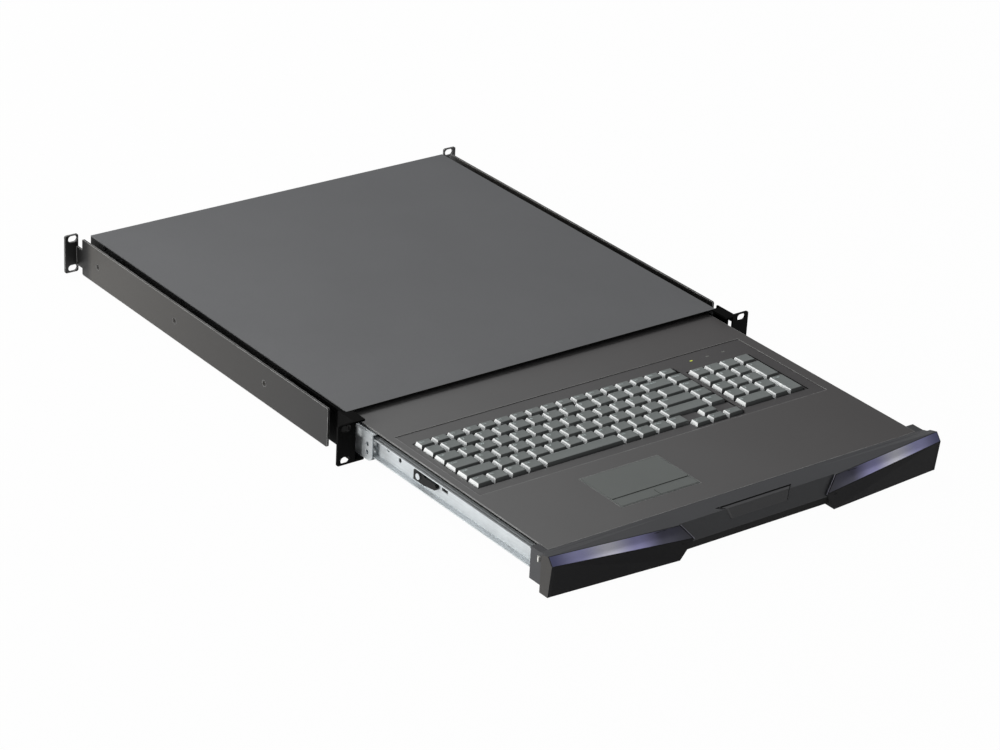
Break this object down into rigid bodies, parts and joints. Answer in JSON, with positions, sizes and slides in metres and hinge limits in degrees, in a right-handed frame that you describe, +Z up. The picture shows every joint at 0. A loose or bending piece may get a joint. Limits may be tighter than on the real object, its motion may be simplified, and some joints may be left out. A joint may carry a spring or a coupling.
{
  "type": "rack keyboard drawer with dual monitor kvm switch",
  "caption": "Rack drawer with keyboard and touch pad on ball slides, latch handle in front and a dual-monitor switch with ports in the housing behind, drawn open.",
  "frame": {"origin": "centre of the four front rack slots, in the front face of the front ears", "axes": "+X right as seen from the front, +Y to the rear of the rack, +Z up; the drawer slides along Y and is drawn out in front of the ears"},
  "size_m": [0.4826, 0.7928, 0.041],
  "materials": {
    "housing_paint": "satin",
    "cover_paint": "satin",
    "ear_paint": "semi-gloss",
    "rail_paint": "satin",
    "zinc_steel": "bright zinc",
    "cage_steel": "plain",
    "black_screw": "black oxide",
    "deck_paint": "matte",
    "frame_plastic": "matte",
    "key_plastic": "matte",
    "pad_plastic": "matte",
    "handle_plastic": "satin",
    "rod_plastic": "smooth",
    "lever_plastic": "matte",
    "light_lens": "clear",
    "circuit_board": "solder mask",
    "port_shell": "nickel",
    "membrane": "matte"
  },
  "bodies": {
    "chassis": {"chassis_base": "housing_paint", "top_cover": "cover_paint", "rear_panel": "housing_paint", "front_bracket_left": "ear_paint", "front_bracket_right": "ear_paint", "rear_bracket_left": "rail_paint", "rear_bracket_right": "rail_paint", "bracket_standoffs": "zinc_steel", "bracket_screws": "black_screw", "cover_screws": "black_screw", "slide_outer_left": "zinc_steel", "slide_outer_right": "zinc_steel", "switch_board": "circuit_board", "switch_ports": "port_shell"},
    "slide_middles": {"slide_middle_left": "zinc_steel", "slide_middle_right": "zinc_steel"},
    "outer_cages": {"outer_cage_left": "cage_steel", "outer_cage_right": "cage_steel"},
    "inner_cages": {"inner_cage_left": "cage_steel", "inner_cage_right": "cage_steel"},
    "tray": {"tray_pan": "housing_paint", "deck_panel": "deck_paint", "front_handle": "handle_plastic", "handle_screws": "black_screw", "slide_inner_left": "zinc_steel", "slide_inner_right": "zinc_steel", "keyboard_frame": "frame_plastic", "keyboard_guide_plate": "frame_plastic", "keyboard_membrane": "membrane", "keyboard_back_plate": "zinc_steel", "keyboard_controller": "circuit_board", "status_leds": "light_lens", "touchpad_frame": "frame_plastic", "touchpad_board": "circuit_board", "touch_surface": "pad_plastic"},
    "latch_button": {"latch_button": "handle_plastic"},
    "latch_rod_left": {"latch_rod_left": "rod_plastic"},
    "latch_rod_right": {"latch_rod_right": "rod_plastic"},
    "release_lever_left": {"release_lever_left": "lever_plastic"},
    "release_lever_right": {"release_lever_right": "lever_plastic"},
    "touchpad_button_left": {"touchpad_button_left": "pad_plastic"},
    "touchpad_button_right": {"touchpad_button_right": "pad_plastic"},
    "keys_function": {"keys_function": "key_plastic"},
    "keys_number": {"keys_number": "key_plastic"},
    "key_backspace": {"key_backspace": "key_plastic"},
    "key_tab": {"key_tab": "key_plastic"},
    "keys_upper": {"keys_upper": "key_plastic"},
    "key_caps_lock": {"key_caps_lock": "key_plastic"},
    "keys_home": {"keys_home": "key_plastic"},
    "key_enter": {"key_enter": "key_plastic"},
    "key_shift_left": {"key_shift_left": "key_plastic"},
    "keys_lower": {"keys_lower": "key_plastic"},
    "key_shift_right": {"key_shift_right": "key_plastic"},
    "keys_modifier": {"keys_modifier": "key_plastic"},
    "space_bar": {"space_bar": "key_plastic"},
    "keys_arrow": {"keys_arrow": "key_plastic"},
    "keys_navigation": {"keys_navigation": "key_plastic"},
    "keys_numpad": {"keys_numpad": "key_plastic"},
    "numpad_plus": {"numpad_plus": "key_plastic"},
    "numpad_enter": {"numpad_enter": "key_plastic"}
  },
  "joints": [
    {"name": "mid_slide", "type": "slide", "parent": "chassis", "child": "slide_middles", "axis": [0, 1, 0], "range_m": [0, 0.0425]},
    {"name": "tray_slide", "type": "slide", "parent": "slide_middles", "child": "tray", "axis": [0, 1, 0], "range_m": [0, 0.233]},
    {"name": "outer_cage_slide", "type": "slide", "parent": "chassis", "child": "outer_cages", "axis": [0, 1, 0], "range_m": [0, 0.02125]},
    {"name": "inner_cage_slide", "type": "slide", "parent": "slide_middles", "child": "inner_cages", "axis": [0, 1, 0], "range_m": [0, 0.1165]},
    {"name": "latch_press", "type": "hinge", "parent": "tray", "child": "latch_button", "pos_m": [0, -0.29556, 0.0088], "axis": [-1, 0, 0], "range_deg": [0, 6.9], "stiffness_Nm_per_rad": 0.6, "springref_deg": -5.73},
    {"name": "latch_rod_left_slide", "type": "slide", "parent": "tray", "child": "latch_rod_left", "axis": [1, 0, 0], "range_m": [0, 0.0021]},
    {"name": "latch_rod_right_slide", "type": "slide", "parent": "tray", "child": "latch_rod_right", "axis": [-1, 0, 0], "range_m": [0, 0.0021]},
    {"name": "release_lever_left_press", "type": "hinge", "parent": "tray", "child": "release_lever_left", "pos_m": [-0.2086, -0.082, -0.0013], "axis": [1, 0, 0], "range_deg": [0, 5], "stiffness_Nm_per_rad": 0.2, "springref_deg": -2.86},
    {"name": "release_lever_right_press", "type": "hinge", "parent": "tray", "child": "release_lever_right", "pos_m": [0.2086, -0.082, -0.0013], "axis": [1, 0, 0], "range_deg": [0, 5], "stiffness_Nm_per_rad": 0.2, "springref_deg": -2.86},
    {"name": "touchpad_button_left_press", "type": "slide", "parent": "tray", "child": "touchpad_button_left", "axis": [0, 0, -1], "range_m": [0, 0.0006], "stiffness_N_per_m": 600, "springref_m": -0.0005},
    {"name": "touchpad_button_right_press", "type": "slide", "parent": "tray", "child": "touchpad_button_right", "axis": [0, 0, -1], "range_m": [0, 0.0006], "stiffness_N_per_m": 600, "springref_m": -0.0005},
    {"name": "keys_function_press", "type": "slide", "parent": "tray", "child": "keys_function", "axis": [0, 0, -1], "range_m": [0, 0.002], "stiffness_N_per_m": 4250, "springref_m": -0.0012},
    {"name": "keys_number_press", "type": "slide", "parent": "tray", "child": "keys_number", "axis": [0, 0, -1], "range_m": [0, 0.002], "stiffness_N_per_m": 3250, "springref_m": -0.0012},
    {"name": "key_backspace_press", "type": "slide", "parent": "tray", "child": "key_backspace", "axis": [0, 0, -1], "range_m": [0, 0.002], "stiffness_N_per_m": 250, "springref_m": -0.0012},
    {"name": "key_tab_press", "type": "slide", "parent": "tray", "child": "key_tab", "axis": [0, 0, -1], "range_m": [0, 0.002], "stiffness_N_per_m": 250, "springref_m": -0.0012},
    {"name": "keys_upper_press", "type": "slide", "parent": "tray", "child": "keys_upper", "axis": [0, 0, -1], "range_m": [0, 0.002], "stiffness_N_per_m": 3250, "springref_m": -0.0012},
    {"name": "key_caps_lock_press", "type": "slide", "parent": "tray", "child": "key_caps_lock", "axis": [0, 0, -1], "range_m": [0, 0.002], "stiffness_N_per_m": 250, "springref_m": -0.0012},
    {"name": "keys_home_press", "type": "slide", "parent": "tray", "child": "keys_home", "axis": [0, 0, -1], "range_m": [0, 0.002], "stiffness_N_per_m": 2750, "springref_m": -0.0012},
    {"name": "key_enter_press", "type": "slide", "parent": "tray", "child": "key_enter", "axis": [0, 0, -1], "range_m": [0, 0.002], "stiffness_N_per_m": 250, "springref_m": -0.0012},
    {"name": "key_shift_left_press", "type": "slide", "parent": "tray", "child": "key_shift_left", "axis": [0, 0, -1], "range_m": [0, 0.002], "stiffness_N_per_m": 250, "springref_m": -0.0012},
    {"name": "keys_lower_press", "type": "slide", "parent": "tray", "child": "keys_lower", "axis": [0, 0, -1], "range_m": [0, 0.002], "stiffness_N_per_m": 2500, "springref_m": -0.0012},
    {"name": "key_shift_right_press", "type": "slide", "parent": "tray", "child": "key_shift_right", "axis": [0, 0, -1], "range_m": [0, 0.002], "stiffness_N_per_m": 250, "springref_m": -0.0012},
    {"name": "keys_modifier_press", "type": "slide", "parent": "tray", "child": "keys_modifier", "axis": [0, 0, -1], "range_m": [0, 0.002], "stiffness_N_per_m": 2000, "springref_m": -0.0012},
    {"name": "space_bar_press", "type": "slide", "parent": "tray", "child": "space_bar", "axis": [0, 0, -1], "range_m": [0, 0.002], "stiffness_N_per_m": 250, "springref_m": -0.0012},
    {"name": "keys_arrow_press", "type": "slide", "parent": "tray", "child": "keys_arrow", "axis": [0, 0, -1], "range_m": [0, 0.002], "stiffness_N_per_m": 1000, "springref_m": -0.0012},
    {"name": "keys_navigation_press", "type": "slide", "parent": "tray", "child": "keys_navigation", "axis": [0, 0, -1], "range_m": [0, 0.002], "stiffness_N_per_m": 1000, "springref_m": -0.0012},
    {"name": "keys_numpad_press", "type": "slide", "parent": "tray", "child": "keys_numpad", "axis": [0, 0, -1], "range_m": [0, 0.002], "stiffness_N_per_m": 3750, "springref_m": -0.0012},
    {"name": "numpad_plus_press", "type": "slide", "parent": "tray", "child": "numpad_plus", "axis": [0, 0, -1], "range_m": [0, 0.002], "stiffness_N_per_m": 250, "springref_m": -0.0012},
    {"name": "numpad_enter_press", "type": "slide", "parent": "tray", "child": "numpad_enter", "axis": [0, 0, -1], "range_m": [0, 0.002], "stiffness_N_per_m": 250, "springref_m": -0.0012}
  ],
  "couplings": [
    {"joint": "outer_cage_slide", "follows": "mid_slide", "ratio": 0.5},
    {"joint": "inner_cage_slide", "follows": "tray_slide", "ratio": 0.5},
    {"joint": "latch_rod_left_slide", "follows": "latch_press", "m_per_rad": 0.0174},
    {"joint": "latch_rod_right_slide", "follows": "latch_press", "m_per_rad": 0.0174}
  ]
}
